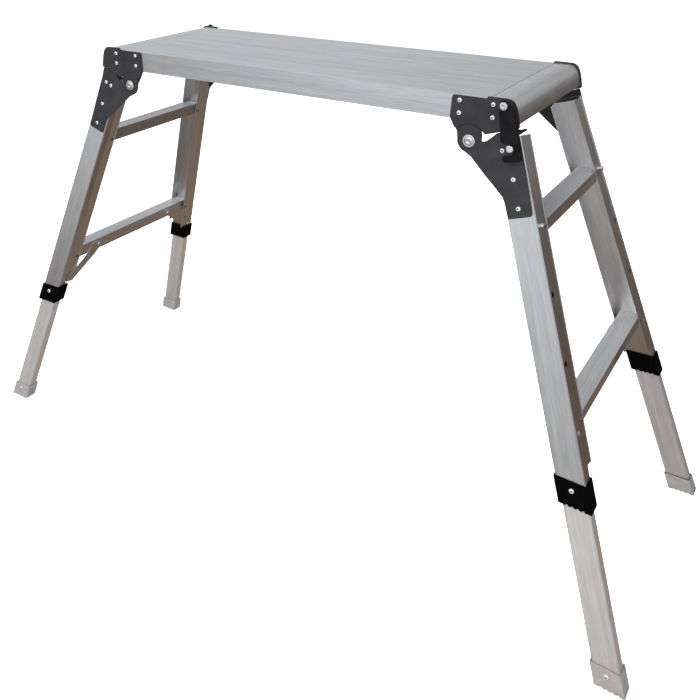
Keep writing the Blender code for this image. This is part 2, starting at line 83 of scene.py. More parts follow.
# Rivets: radius of the head, radius of the shank
LARGE_RIVET = (0.0040, 0.0025)
SMALL_RIVET = (0.0034, 0.0020)
SLEEVE_RIVET = (0.0042, 0.0022)
LEG_PLATE_FACE = 0.0037
STRUT_THICKNESS = 0.0028
STRUT_END_Y = 0.1300
STRUT_FOOT_Z = 0.3455
STRUT_FOOT_DEPTH = 0.0180
TREAD_RIVET_DEPTH = 0.0360
COLLAR_RIVET_Z = 0.3130
COLLAR_FACE = 0.0024
FOOT_RIVET_Z = 0.0240
FOOT_FACE = 0.0012

# Screws through each end nose
SCREW_X = 0.4335
SCREW_Z = 0.9275
SCREW_ROWS = (-0.148, -0.020, 0.020, 0.148)

# Edges sharper than this many degrees are shaded as edges, and broken on the copies
SHARP = 38
RIB_SHARP = 25
BROKEN = 30

# Where each paint is in the list of small parts' paints; the bore's is painted shade, and the mandrel's
# also paints shade into screw recesses
FLANGE, BORE_SHADE, MANDREL_AND_RECESS_SHADE, PIN, DULL = range(5)

ALONG_PLANE = Vector((math.sin(SPLAY), 0, -math.cos(SPLAY)))
PLANE_NORMAL = Vector((math.cos(SPLAY), 0, math.sin(SPLAY)))
OUTWARD = Vector((0, 1, 0))
STILE_AXIS = ALONG_PLANE * math.cos(FLARE) + OUTWARD * math.sin(FLARE)
WEB_NORMAL = OUTWARD * math.cos(FLARE) - ALONG_PLANE * math.sin(FLARE)
PLANE_START = Vector((PIVOT_X, 0, PIVOT_Z)) + PLANE_NORMAL * PLANE_OFFSET
STILE_START = PLANE_START + OUTWARD * WEB_AT_PIVOT

CORNERS = (
    ("near_right", 1, -1),
    ("far_right", 1, 1),
    ("near_left", -1, -1),
    ("far_left", -1, 1),
)
LATCHED = ("near_right", "far_left")

CAMERA_PLACE = (0.9104, -1.4745, 1.2618)
CAMERA_AHEAD = (-0.56401, 0.76990, -0.29857)
CAMERA_ROLL = -0.01712
CAMERA_LENS = 43.23
CAMERA_SENSOR = 36
CAMERA_SHIFT = (0.1289, -0.2841)
CAMERA_RANGE = 60

# Tones that glossy faces see: (share of ROOM_REACH from the bench, colour)
ROOM_REACH = 8.0
DIM_ROOM = (
    (0.00, (0.20, 0.155, 0.11)),
    (0.11, (0.24, 0.18, 0.13)),
    (0.18, (0.20, 0.16, 0.135)),
    (0.33, (0.13, 0.10, 0.078)),
    (0.55, (0.12, 0.098, 0.08)),
    (0.90, (0.11, 0.093, 0.077)),
)
BRIGHT_ROOM = (
    (0.00, (0.20, 0.155, 0.11)),
    (0.06, (0.30, 0.27, 0.25)),
    (0.11, (0.46, 0.45, 0.44)),
    (0.17, (0.43, 0.425, 0.42)),
    (0.28, (0.46, 0.455, 0.455)),
    (0.38, (0.80, 0.84, 0.88)),
    (0.46, (1.02, 1.08, 1.14)),
    (0.55, (0.80, 0.84, 0.90)),
    (0.63, (0.58, 0.61, 0.66)),
    (0.76, (0.68, 0.73, 0.78)),
    (0.95, (0.76, 0.81, 0.86)),
)
ROOM_FRONT = (0.10, -0.995, 0)
ROOM_RIGHT = (0.90, 0.44, 0)
ROOM_BROWN = ((0.80, (1.0, 1.0, 1.0)), (0.93, (0.62, 0.48, 0.38)))

# The sky from left (0) to right (1), what is bright ahead, and the plain backdrop that the camera sees
SKY = (
    (0.00, (0.62, 0.65, 0.67)),
    (0.27, (0.68, 0.72, 0.75)),
    (0.38, (0.50, 0.51, 0.51)),
    (0.50, (0.44, 0.44, 0.44)),
    (0.77, (0.52, 0.53, 0.54)),
)
SKY_AHEAD = (1.15, 1.17, 1.20)
BACKDROP = (1.10, 1.11, 1.13)

FLOOR_REACH = 30
FLOOR_DROP = 0.0002
FLOOR_PAPER = (0.93, 0.93, 0.93, 1)
FLOOR_LIFT = 0.50

# Name, place, target, size, power, colour, seen in reflections
LIGHTS = (
    ("key", (-1.2, -2.6, 3.0), (0, 0, 0.6), 2.4, 150, (1.0, 0.99, 0.98), False),
    ("fill", (2.4, -2.0, 2.2), (0.2, 0, 0.6), 2.0, 62, (1.0, 0.98, 0.96), False),
    ("back", (-0.8, 2.8, 2.6), (0, 0, 0.6), 2.0, 90, (0.97, 0.98, 1.0), False),
    ("sparkle", (0.2, -2.2, 2.0), (0.3, -0.2, 0.85), 0.35, 3, (1.0, 1.0, 1.0), True),
)

# ---- camera, stage and light ----


def add_camera():
    forward = Vector(CAMERA_AHEAD).normalized()
    level = forward.cross(Vector((0, 0, 1))).normalized()
    upright = level.cross(forward)
    right = level * math.cos(CAMERA_ROLL) + upright * math.sin(CAMERA_ROLL)
    above = upright * math.cos(CAMERA_ROLL) - level * math.sin(CAMERA_ROLL)
    data = bpy.data.cameras.new("camera")
    data.sensor_width = CAMERA_SENSOR
    data.lens = CAMERA_LENS
    data.shift_x, data.shift_y = CAMERA_SHIFT
    data.clip_end = CAMERA_RANGE
    item = bpy.data.objects.new("camera", data)
    bpy.context.scene.collection.objects.link(item)
    turn = Matrix((right, above, -forward)).transposed()
    item.matrix_world = Matrix.Translation(CAMERA_PLACE) @ turn.to_4x4()
    bpy.context.scene.camera = item


class Graph:
    """Short words for building a node tree."""

    def __init__(self, owner):
        owner.use_nodes = True
        owner.node_tree.nodes.clear()
        self.tree = owner.node_tree

    def add(self, kind, **settings):
        node = self.tree.nodes.new(kind)
        for key, value in settings.items():
            setattr(node, key, value)
        return node

    def link(self, source, target):
        self.tree.links.new(source, target)

    def put(self, socket, value):
        if isinstance(value, bpy.types.NodeSocket):
            self.link(value, socket)
        elif isinstance(value, (tuple, list)) and socket.type == "RGBA" and len(value) == 3:
            socket.default_value = (*value, 1)
        else:
            socket.default_value = value

    def math(self, operation, a, b=0.0, c=0.0, clamp=False):
        node = self.add("ShaderNodeMath", operation=operation, use_clamp=clamp)
        for socket, value in zip(node.inputs, (a, b, c)):
            self.put(socket, value)
        return node.outputs[0]

    def spread(self, value, amount, base):
        """value * amount + base"""
        return self.math("MULTIPLY_ADD", value, amount, base)

    def dot(self, vector, direction):
        node = self.add("ShaderNodeVectorMath", operation="DOT_PRODUCT")
        self.put(node.inputs[0], vector)
        node.inputs[1].default_value = direction
        return node.outputs["Value"]

    def ramp(self, value, stops):
        """Colours, or grey levels, at places from 0 to 1."""
        node = self.add("ShaderNodeValToRGB")
        self.link(value, node.inputs[0])
        while len(node.color_ramp.elements) < len(stops):
            node.color_ramp.elements.new(0.5)
        for element, (place, colour) in zip(node.color_ramp.elements, stops):
            element.position = place
            element.color = (*colour, 1) if isinstance(colour, tuple) else (colour, colour, colour, 1)
        return node.outputs[0]

    def rise(self, value, low, high):
        """0 up to low, 1 from high on."""
        return self.ramp(value, ((low, 0.0), (high, 1.0)))

    def mix(self, fraction, a, b, blend="MIX"):
        node = self.add("ShaderNodeMix", data_type="RGBA", blend_type=blend)
        self.put(node.inputs[0], fraction)
        self.put(node.inputs[6], a)
        self.put(node.inputs[7], b)
        return node.outputs[2]

    def combine(self, x, y, z):
        node = self.add("ShaderNodeCombineXYZ")
        for socket, value in zip(node.inputs, (x, y, z)):
            self.put(socket, value)
        return node.outputs[0]

    def place(self):
        return self.add("ShaderNodeTexCoord").outputs["Object"]

    def noise(self, vector, scale, detail, rough):
        node = self.add("ShaderNodeTexNoise")
        self.link(vector, node.inputs["Vector"])
        node.inputs["Scale"].default_value = scale
        node.inputs["Detail"].default_value = detail
        node.inputs["Roughness"].default_value = rough
        return node.outputs[0]

    def bump(self, height, distance, strength):
        node = self.add("ShaderNodeBump")
        node.inputs["Strength"].default_value = strength
        node.inputs["Distance"].default_value = distance
        self.link(height, node.inputs["Height"])
        return node.outputs[0]

    def surface(self, colour, metallic, roughness, normal, specular=0.5):
        shader = self.add("ShaderNodeBsdfPrincipled")
        shader.inputs["Specular IOR Level"].default_value = specular
        self.put(shader.inputs["Base Color"], colour)
        self.put(shader.inputs["Metallic"], metallic)
        self.put(shader.inputs["Roughness"], roughness)
        self.link(normal, shader.inputs["Normal"])
        out = self.add("ShaderNodeOutputMaterial")
        self.link(shader.outputs[0], out.inputs[0])


def room_tint(graph, outward, distance):
    """What glossy faces see of the room: bright in front, warm and dim elsewhere and under the bench."""
    level = graph.add("ShaderNodeVectorMath", operation="MULTIPLY")
    graph.put(level.inputs[0], outward)
    level.inputs[1].default_value = (1, 1, 0)
    unit = graph.add("ShaderNodeVectorMath", operation="NORMALIZE")
    graph.link(level.outputs[0], unit.inputs[0])
    front = graph.rise(graph.dot(unit.outputs[0], ROOM_FRONT), 0.50, 0.82)
    reach = graph.math("DIVIDE", distance, ROOM_REACH, clamp=True)
    brown = graph.ramp(graph.dot(unit.outputs[0], ROOM_RIGHT), ROOM_BROWN)
    dim = graph.mix(1.0, graph.ramp(reach, DIM_ROOM), brown, "MULTIPLY")
    return graph.mix(front, dim, graph.ramp(reach, BRIGHT_ROOM))


def add_world():
    """The camera sees a plain backdrop; every other ray sees the room's tones and the sky above them."""
    world = bpy.data.worlds.new("studio")
    bpy.context.scene.world = world
    graph = Graph(world)
    direction = graph.add("ShaderNodeTexCoord").outputs["Generated"]
    walls = room_tint(graph, direction, ROOM_REACH)
    height = graph.dot(direction, (0, 0, 1))
    sideways = graph.spread(graph.dot(direction, (1, 0, 0)), 0.5, 0.5)
    ahead = graph.rise(graph.dot(direction, (0, -1, 0)), 0.30, 0.70)
    sky = graph.mix(ahead, graph.ramp(sideways, SKY), SKY_AHEAD)
    tint = graph.mix(graph.rise(height, 0.0, 0.10), walls, sky)
    paths = graph.add("ShaderNodeLightPath")
    back = graph.add("ShaderNodeBackground")
    graph.link(graph.mix(paths.outputs["Is Camera Ray"], tint, BACKDROP), back.inputs[0])
    back.inputs[1].default_value = 1.0
    out = graph.add("ShaderNodeOutputWorld")
    graph.link(back.outputs[0], out.inputs[0])


def add_floor():
    """White paper to the camera and to diffuse light; to glossy rays the floor glows with the room's tones,
    a painted reflection.
    """
    mesh = bpy.data.meshes.new("floor")
    ends = ((-1, -1), (1, -1), (1, 1), (-1, 1))
    mesh.from_pydata([(x * FLOOR_REACH, y * FLOOR_REACH, 0) for x, y in ends], [], [(0, 1, 2, 3)])
    item = bpy.data.objects.new("floor", mesh)
    item.location.z = -FLOOR_DROP
    bpy.context.scene.collection.objects.link(item)
    material = bpy.data.materials.new("floor_paper_and_painted_reflection")
    graph = Graph(material)
    place = graph.add("ShaderNodeNewGeometry").outputs["Position"]
    length = graph.add("ShaderNodeVectorMath", operation="LENGTH")
    graph.link(place, length.inputs[0])
    # The floor glows with the room's tones for glossy rays only: a painted reflection.
    seen = graph.add("ShaderNodeEmission")
    graph.link(room_tint(graph, place, length.outputs["Value"]), seen.inputs[0])
    paper = graph.add("ShaderNodeBsdfDiffuse")
    paper.inputs[0].default_value = FLOOR_PAPER
    paths = graph.add("ShaderNodeLightPath")
    lift = graph.add("ShaderNodeEmission")
    graph.link(graph.math("MULTIPLY", paths.outputs["Is Camera Ray"], FLOOR_LIFT), lift.inputs[1])
    lit = graph.add("ShaderNodeAddShader")
    graph.link(paper.outputs[0], lit.inputs[0])
    graph.link(lift.outputs[0], lit.inputs[1])
    blend = graph.add("ShaderNodeMixShader")
    graph.link(paths.outputs["Is Glossy Ray"], blend.inputs[0])
    graph.link(lit.outputs[0], blend.inputs[1])
    graph.link(seen.outputs[0], blend.inputs[2])
    out = graph.add("ShaderNodeOutputMaterial")
    graph.link(blend.outputs[0], out.inputs[0])
    mesh.materials.append(material)


def add_light(name, place, target, size, power, colour, glossy):
    data = bpy.data.lights.new(name, "AREA")
    data.shape = "DISK"
    data.size = size
    data.energy = power
    data.color = colour
    item = bpy.data.objects.new(name, data)
    bpy.context.scene.collection.objects.link(item)
    item.visible_glossy = glossy
    item.location = place
    item.rotation_euler = (Vector(target) - Vector(place)).to_track_quat("-Z", "Y").to_euler()


# ---- materials ----


def lengthwise(graph, along):
    """Object coordinates with their first axis turned onto the direction an extrusion was drawn in."""
    place = graph.place()
    along = Vector(along).normalized()
    side = along.orthogonal().normalized()
    third = along.cross(side)
    return graph.dot(place, along), graph.dot(place, side), graph.dot(place, third)


def extruded(name, along, colour, roughness, streaks, metallic=1.0):
    """Mill-finish aluminium: long die lines, faint bands, handling marks and a dull, warm bloom."""
    paint = bpy.data.materials.new(name)
    graph = Graph(paint)
    u, v, w = lengthwise(graph, along)
    stretched = graph.combine(graph.math("MULTIPLY", u, 0.035), v, w)
    lines = graph.noise(stretched, scale=620.0, detail=2.0, rough=0.6)
    bands = graph.noise(stretched, scale=70.0, detail=3.0, rough=0.55)
    bloom = graph.noise(graph.combine(u, v, w), scale=16.0, detail=4.0, rough=0.6)
    rubbed = graph.combine(graph.math("MULTIPLY", u, 0.25), v, w)
    scuffs = graph.noise(rubbed, scale=260.0, detail=3.0, rough=0.7)
    dark = tuple(c * (1 - 1.6 * streaks) for c in colour)
    light = tuple(min(1.0, c * (1 + 0.9 * streaks)) for c in colour)
    warm = (colour[0] * 1.03, colour[1] * 0.985, colour[2] * 0.94)
    shade = graph.mix(graph.rise(bands, 0.30, 0.70), dark, light)
    shade = graph.mix(graph.math("MULTIPLY", graph.rise(bloom, 0.35, 0.75), 0.5), shade, warm)
    shade = graph.mix(1.0, shade, graph.ramp(lines, ((0.30, 0.90), (0.62, 1.06))), "MULTIPLY")
    shade = graph.mix(1.0, shade, graph.ramp(scuffs, ((0.66, 1.0), (0.76, 0.88))), "MULTIPLY")
    gloss = graph.spread(lines, 0.16, roughness - 0.10)
    gloss = graph.spread(bloom, 0.16, graph.math("SUBTRACT", gloss, 0.06))
    height = graph.math("ADD", lines, graph.math("MULTIPLY", bands, 1.6))
    graph.surface(shade, metallic, gloss, graph.bump(height, distance=0.00006, strength=0.55))
    return paint


def powder_coat(name, colour, roughness, specular, dust=0.35):
    """Black powder coat: fine orange peel, grey dust and rubbed spots."""
    paint = bpy.data.materials.new(name)
    graph = Graph(paint)
    place = graph.place()
    peel = graph.noise(place, scale=1500.0, detail=2.0, rough=0.5)
    cloud = graph.noise(place, scale=38.0, detail=4.0, rough=0.6)
    speck = graph.noise(place, scale=700.0, detail=2.0, rough=0.6)
    pale = tuple(c * 1.45 + 0.004 for c in colour)
    shade = graph.mix(graph.rise(cloud, 0.30, 0.75), colour, pale)
    specks = graph.math("MULTIPLY", graph.rise(speck, 0.70, 0.78), dust)
    shade = graph.mix(specks, shade, (0.12, 0.12, 0.115))
    gloss = graph.spread(cloud, 0.18, roughness - 0.09)
    graph.surface(shade, 0.0, gloss, graph.bump(peel, distance=0.00005, strength=0.5), specular)
    return paint


def zinc_plate(name, colour, roughness, metallic=1.0):
    """Bright zinc plate with a cloudy, slightly pink passivated bloom."""
    paint = bpy.data.materials.new(name)
    graph = Graph(paint)
    place = graph.place()
    cloud = graph.noise(place, scale=420.0, detail=3.0, rough=0.6)
    patch = graph.noise(place, scale=160.0, detail=3.0, rough=0.6)
    dull = tuple(c * 0.80 for c in colour)
    shade = graph.mix(graph.rise(patch, 0.35, 0.65), colour, dull)
    shade = graph.mix(graph.math("MULTIPLY", cloud, 0.25), shade, (0.80, 0.74, 0.76))
    gloss = graph.spread(cloud, 0.22, roughness - 0.10)
    graph.surface(shade, metallic, gloss, graph.bump(cloud, distance=0.00006, strength=0.4))
    return paint


def moulded(name, colour, roughness, bloom, specular):
    """Moulded plastic or rubber: fine spark-eroded grain with scuffed high spots."""
    paint = bpy.data.materials.new(name)
    graph = Graph(paint)
    place = graph.place()
    grain = graph.noise(place, scale=1100.0, detail=3.0, rough=0.6)
    cloud = graph.noise(place, scale=60.0, detail=4.0, rough=0.65)
    scuff = graph.noise(place, scale=240.0, detail=4.0, rough=0.7)
    rubbed = tuple(c * 1.25 + 0.004 for c in bloom)
    shade = graph.mix(graph.rise(cloud, 0.30, 0.75), colour, bloom)
    shade = graph.mix(graph.math("MULTIPLY", graph.rise(scuff, 0.60, 0.74), 0.40), shade, rubbed)
    gloss = graph.spread(grain, 0.20, roughness - 0.10)
    graph.surface(shade, 0.0, gloss, graph.bump(grain, distance=0.00010, strength=0.6), specular)
    return paint


def corner_axis(x_side, y_side):
    return Vector((x_side * STILE_AXIS.x, y_side * STILE_AXIS.y, STILE_AXIS.z))


def dress(node, paint):
    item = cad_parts[node]
    item.data.materials.clear()
    item.data.materials.append(paint)


def dress_nodes():
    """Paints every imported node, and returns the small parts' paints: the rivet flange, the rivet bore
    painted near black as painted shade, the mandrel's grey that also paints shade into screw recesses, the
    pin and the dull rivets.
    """
    alloy = (0.74, 0.75, 0.76)
    leg_alloy = (0.615, 0.605, 0.605)
    along_deck = extruded("alloy_deck", (1, 0, 0), alloy, 0.40, 0.10)
    across = extruded("alloy_nose", (0, 1, 0), alloy, 0.36, 0.09)
    rung = extruded("alloy_rung", (0, 1, 0), alloy, 0.36, 0.09)
    black = powder_coat("black_coat", (0.0105, 0.0105, 0.0115), 0.50, 0.36)
    latch = powder_coat("latch_coat", (0.0020, 0.0020, 0.0024), 0.42, 0.12, dust=0.10)
    zinc = zinc_plate("zinc", (0.84, 0.83, 0.85), 0.26)
    bright_zinc = zinc_plate("bright_zinc", (0.90, 0.93, 0.97), 0.26, metallic=0.70)
    collar = moulded("collar_plastic", (0.0006, 0.0006, 0.0007), 0.55, (0.0012, 0.0012, 0.0014), 0.03)
    foot = moulded("foot_rubber", (0.185, 0.172, 0.168), 0.62, (0.24, 0.225, 0.22), 0.35)
    for word in ("near", "far"):
        dress("deck_board_" + word, along_deck)
        dress("side_rail_" + word, along_deck)
    for word in ("right", "left"):
        dress("end_nose_" + word, across)
        dress("upper_rung_" + word, rung)
        dress("lower_rung_" + word, rung)
    for corner, x_side, y_side in CORNERS:
        axis = corner_axis(x_side, y_side)
        stile = extruded("alloy_stile_" + corner, axis, alloy, 0.34, 0.10)
        tube = extruded("alloy_leg_" + corner, axis, leg_alloy, 0.42, 0.10, metallic=0.75)
        dress("stile_" + corner, stile)
        dress("knee_brace_" + corner, stile)
        dress("sliding_leg_" + corner, tube)
        for prefix in ("hinge_plate_", "leg_plate_"):
            dress(prefix + corner, black)
        for prefix in ("hinge_rivets_", "leg_rivets_", "pivot_pin_", "snap_button_"):
            dress(prefix + corner, zinc)
        dress("collar_" + corner, collar)
        dress("foot_" + corner, foot)
        if corner in LATCHED:
            dress("latch_pivot_" + corner, zinc)
            dress("latch_hook_" + corner, latch)
    # The bore down a blind rivet is painted near black: painted shade in its hollow.
    bore = powder_coat("painted_bore_shade", (0.030, 0.029, 0.028), 0.50, 0.3)
    # The mandrel's darker grey also paints shade into the screw heads' recesses.
    steel_and_recess_shade = zinc_plate("mandrel_steel_and_recess_shade", (0.40, 0.40, 0.41), 0.38)
    dull = zinc_plate("dull_rivet", (0.15, 0.13, 0.09), 0.40)
    return [bright_zinc, bore, steel_and_recess_shade, zinc, dull]


# ---- shapes ----


def frame_matrix(origin, x_axis, y_axis, z_axis):
    turn = Matrix((x_axis, y_axis, z_axis)).transposed()
    return Matrix.Translation(origin) @ turn.to_4x4()


STILE_VIEW = frame_matrix(STILE_START, PLANE_NORMAL, -WEB_NORMAL, STILE_AXIS)


def outward_view(x, z):
    """Local Z pointing out of the deck's side at (x, z)."""
    return frame_matrix(Vector((x, 0, z)), Vector((1, 0, 0)), Vector((0, 0, -1)), OUTWARD)


def web_view(n, u):
    """Origin on the stile's outer web face, local Z pointing out of it."""
    origin = STILE_START + PLANE_NORMAL * n + STILE_AXIS * (u / math.cos(FLARE))
    return frame_matrix(origin, PLANE_NORMAL, STILE_AXIS, WEB_NORMAL)


def flange_view(side, depth, along):
    """Origin on a stile's flange, local Z pointing out of it; side is 1 for the outer flange."""
    at = STILE_VIEW @ Vector((side * STILE_HALF, depth, along))
    return frame_matrix(at, -WEB_NORMAL * side, STILE_AXIS, PLANE_NORMAL * side)


def stile_reach(z, depth):
    """How far down the stile a height is met."""
    start = (STILE_VIEW @ Vector((0, depth, 0))).z
    return (start - z) / -STILE_AXIS.z


def web_centre(z):
    """The middle of the web's outer face at a height."""
    return web_view(0.0, stile_reach(z, 0.0) * math.cos(FLARE))


def plane_x(z):
    """Where the end frame's plane is at a height."""
    return PLANE_START.x + (PLANE_START.z - z) * math.tan(SPLAY)


def lathe(bm, profile, view, sides, shades=None):
    """Turns (radius, height) points about local Z; shades gives a material index per band."""
    turns = [2 * math.pi * i / sides for i in range(sides)]
    rows = []
    for radius, height in profile:
        if radius == 0:
            rows.append([bm.verts.new(view @ Vector((0, 0, height)))])
            continue
        ring = [Vector((radius * math.cos(t), radius * math.sin(t), height)) for t in turns]
        rows.append([bm.verts.new(view @ point) for point in ring])
    for band, (low, high) in enumerate(zip(rows, rows[1:])):
        for i in range(sides):
            j = (i + 1) % sides
            corners = [low[i % len(low)], low[j % len(low)], high[j % len(high)], high[i % len(high)]]
            face = bm.faces.new(list(dict.fromkeys(corners)))
            face.smooth = True
            if shades:
                face.material_index = shades[band]


def block(bm, corners, view, bevel):
    """A box between two opposite corners, with rounded edges."""
    low, high = (Vector(corner) for corner in corners)
    verts = bmesh.ops.create_cube(bm, size=1)["verts"]
    place = view @ Matrix.Translation((high + low) / 2) @ Matrix.Diagonal((*(high - low), 1))
    bmesh.ops.transform(bm, matrix=place, verts=verts)
    edges = {edge for vert in verts for edge in vert.link_edges}
    bmesh.ops.bevel(bm, geom=list(edges), offset=bevel, segments=2, profile=0.5, affect="EDGES")


def finished(bm, name, side, paints, sharp=SHARP):
    """A mesh piece placed at a corner, mirrored from the one that is drawn."""
    bm.normal_update()
    bm.transform(Matrix.Diagonal((side[0], side[1], 1, 1)))
    if side[0] * side[1] < 0:
        bmesh.ops.reverse_faces(bm, faces=bm.faces)
    mesh = bpy.data.meshes.new(name)
    bm.to_mesh(mesh)
    bm.free()
    for paint in paints:
        mesh.materials.append(paint)
    mesh.set_sharp_from_angle(angle=math.radians(sharp))
    item = bpy.data.objects.new(name, mesh)
    bpy.context.scene.collection.objects.link(item)
    return item


def softened(node, body, width, segments=2):
    """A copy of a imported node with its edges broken, which stands for it."""
    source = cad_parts[node]
    bm = bmesh.new()
    bm.from_mesh(source.data)
    bmesh.ops.remove_doubles(bm, verts=bm.verts, dist=2e-6)
    bmesh.ops.dissolve_limit(bm, angle_limit=math.radians(0.4), verts=bm.verts, edges=bm.edges)
    for face in bm.faces:
        face.smooth = True
    mesh = bpy.data.meshes.new(node + "_soft")
    bm.to_mesh(mesh)
    bm.free()
    mesh.materials.append(source.data.materials[0])
    item = bpy.data.objects.new(node + "_soft", mesh)
    bpy.context.scene.collection.objects.link(item)
    change = item.modifiers.new("broken_edges", "BEVEL")
    change.width = width
    change.segments = segments
    change.limit_method = "ANGLE"
    change.angle_limit = math.radians(BROKEN)
    change.use_clamp_overlap = True
    even = item.modifiers.new("flat_faces_stay_flat", "WEIGHTED_NORMAL")
    even.mode = "FACE_AREA"
    even.weight = 100
    even.keep_sharp = False
    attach(item, body)
    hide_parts(node)


# Heads, as (radius, height) shares of the head's own radius. A blind rivet's is a domed flange, then the
# bore down its middle, painted near black as painted shade, then the broken mandrel in the bore.
BLIND_HEAD = [(1.0, 0.0), (1.0, 0.14), (0.97, 0.26), (0.86, 0.42), (0.70, 0.53), (0.52, 0.58)]
BLIND_HEAD += [(0.42, 0.56), (0.40, 0.50), (0.38, 0.28), (0.22, 0.28), (0.18, 0.36), (0, 0.38)]
BLIND_SHADES = [FLANGE] * 9 + [BORE_SHADE] * 3 + [MANDREL_AND_RECESS_SHADE] * 2
PEENED_HEAD = [(1.0, 0.0), (1.0, 0.10), (0.97, 0.17), (0.90, 0.21), (0.78, 0.22), (0.70, 0.20)]
PEENED_HEAD += [(0.62, 0.26), (0.50, 0.33), (0.38, 0.35), (0.30, 0.31), (0.22, 0.25), (0.12, 0.24)]
PEENED_HEAD += [(0, 0.25)]
CATCH_HEAD = [(1.0, 0.0), (1.0, 0.12), (0.96, 0.24), (0.88, 0.31), (0.74, 0.35), (0.5, 0.37)]
CATCH_HEAD += [(0.3, 0.36), (0, 0.35)]

# Turned pins, as (radius, height) in metres
CATCH_SHANK = [(0, -0.0025), (0.0026, -0.0025), (0.0026, 0.0037), (0.0048, 0.0037)]
CATCH_SHANK += [(0.0048, 0.0098), (0.0066, 0.0098)]
CATCH_HEAD_RADIUS = 0.0070
PIVOT_SHANK = [(0, 0.1630), (0.0090, 0.1630), (0.0098, 0.1638), (0.0098, 0.1663)]
PIVOT_SHANK += [(0.0058, 0.1663), (0.0058, 0.1740)]
PIVOT_HEAD_RADIUS = 0.0114
HOOK_PIVOT = [(0, 0.1703), (0.0042, 0.1703), (0.0042, 0.1736), (0.0060, 0.1736), (0.0060, 0.1862)]
HOOK_PIVOT += [(0.0041, 0.1862), (0.0041, 0.1888), (0.0070, 0.1888), (0.0070, 0.1896), (0.0067, 0.1904)]
HOOK_PIVOT += [(0.0061, 0.1909), (0.0050, 0.1912), (0.0030, 0.1913), (0.0022, 0.1910), (0, 0.1909)]
BUTTON = [(0, 0.0186), (0.0064, 0.0186), (0.0068, 0.0190), (0.0068, 0.0220), (0.0044, 0.0220)]
BUTTON += [(0.0044, 0.0272), (0.0043, 0.0284), (0.0038, 0.0294), (0.0030, 0.0300), (0.0016, 0.0304)]
BUTTON += [(0, 0.0305)]
SCREW = [(0, -0.0006), (0.0030, -0.0006), (0.0033, 0.00012), (0.0030, 0.0003), (0.0024, 0.00022)]
SCREW += [(0.0019, 0.00005), (0.0016, 0.00018), (0, 0.00022)]
# Screw heads: the bright flange, then the recess painted in the mandrel's darker grey as painted shade
SCREW_SHADES = [FLANGE] * 4 + [MANDREL_AND_RECESS_SHADE] * 3


def head(shares, seat, radius):
    return [(r * radius, seat + h * radius) for r, h in shares]


def blind_rivet(bm, view, seat, size, start):
    """A pulled rivet from start to its head, which sits at seat."""
    radius, shank = size
    profile = [(0, start), (shank, start), (shank, seat)] + head(BLIND_HEAD, seat, radius)
    lathe(bm, profile, view, 20, BLIND_SHADES)


# ---- pieces ----


def mount(item, body, slot, *nodes):
    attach(item, body)
    if nodes:
        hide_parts(*nodes)


def add_hinge_rivets(corner, side, paints):
    bm = bmesh.new()
    block(bm, DECK_BACKING, Matrix.Identity(4), 0.0005)
    for x, z in HINGE_RIVETS:
        blind_rivet(bm, outward_view(x, z), PLATE_OUT + 0.0002, LARGE_RIVET, 0.1670)
    mount(finished(bm, "rivets_deck_" + corner, side, paints), "deck", "zinc", "hinge_rivets_" + corner)


def add_leg_rivets(corner, side, paints, body):
    """The leg plate's rivets; a latched corner has the hook's catch pin in place of one."""
    bm = bmesh.new()
    block(bm, LEG_BACKING, STILE_VIEW, 0.0004)
    for index, (n, u) in enumerate(LEG_RIVETS):
        if corner in LATCHED and index == CATCH_PIN:
            continue
        blind_rivet(bm, web_view(n, u), LEG_PLATE_FACE, LARGE_RIVET, -0.0025)
    if corner in LATCHED:
        profile = CATCH_SHANK + head(CATCH_HEAD, CATCH_SHANK[-1][1], CATCH_HEAD_RADIUS)
        lathe(bm, profile, web_view(*LEG_RIVETS[CATCH_PIN]), 32, [PIN] * len(profile))
    mount(finished(bm, "rivets_leg_" + corner, side, paints), body, "zinc", "leg_rivets_" + corner)


def add_pivot(corner, side, paints, body):
    bm = bmesh.new()
    profile = PIVOT_SHANK + head(PEENED_HEAD, PIVOT_SHANK[-1][1], PIVOT_HEAD_RADIUS)
    lathe(bm, profile, outward_view(PIVOT_X, PIVOT_Z), 40)
    mount(finished(bm, "pivot_" + corner, side, [paints[PIN]]), body, "zinc", "pivot_pin_" + corner)


def add_latch_pivot(corner, side, paints):
    bm = bmesh.new()
    lathe(bm, HOOK_PIVOT, outward_view(*LATCH_PIVOT), 32)
    item = finished(bm, "latch_rivet_" + corner, side, [paints[PIN]])
    mount(item, "deck", "zinc", "latch_pivot_" + corner)


def add_button(corner, side, paints):
    """The spring button in the stile's first hole, turned about the stile's own local X."""
    bm = bmesh.new()
    across = frame_matrix(Vector((0, 0, 0)), Vector((0, 1, 0)), Vector((0, 0, 1)), Vector((1, 0, 0)))
    view = STILE_VIEW @ Matrix.Translation((0, HOLE_DEPTH, FIRST_HOLE)) @ across
    lathe(bm, BUTTON, view, 28)
    item = finished(bm, "button_" + corner, side, [paints[PIN]])
    mount(item, "button_" + corner, "zinc", "snap_button_" + corner)


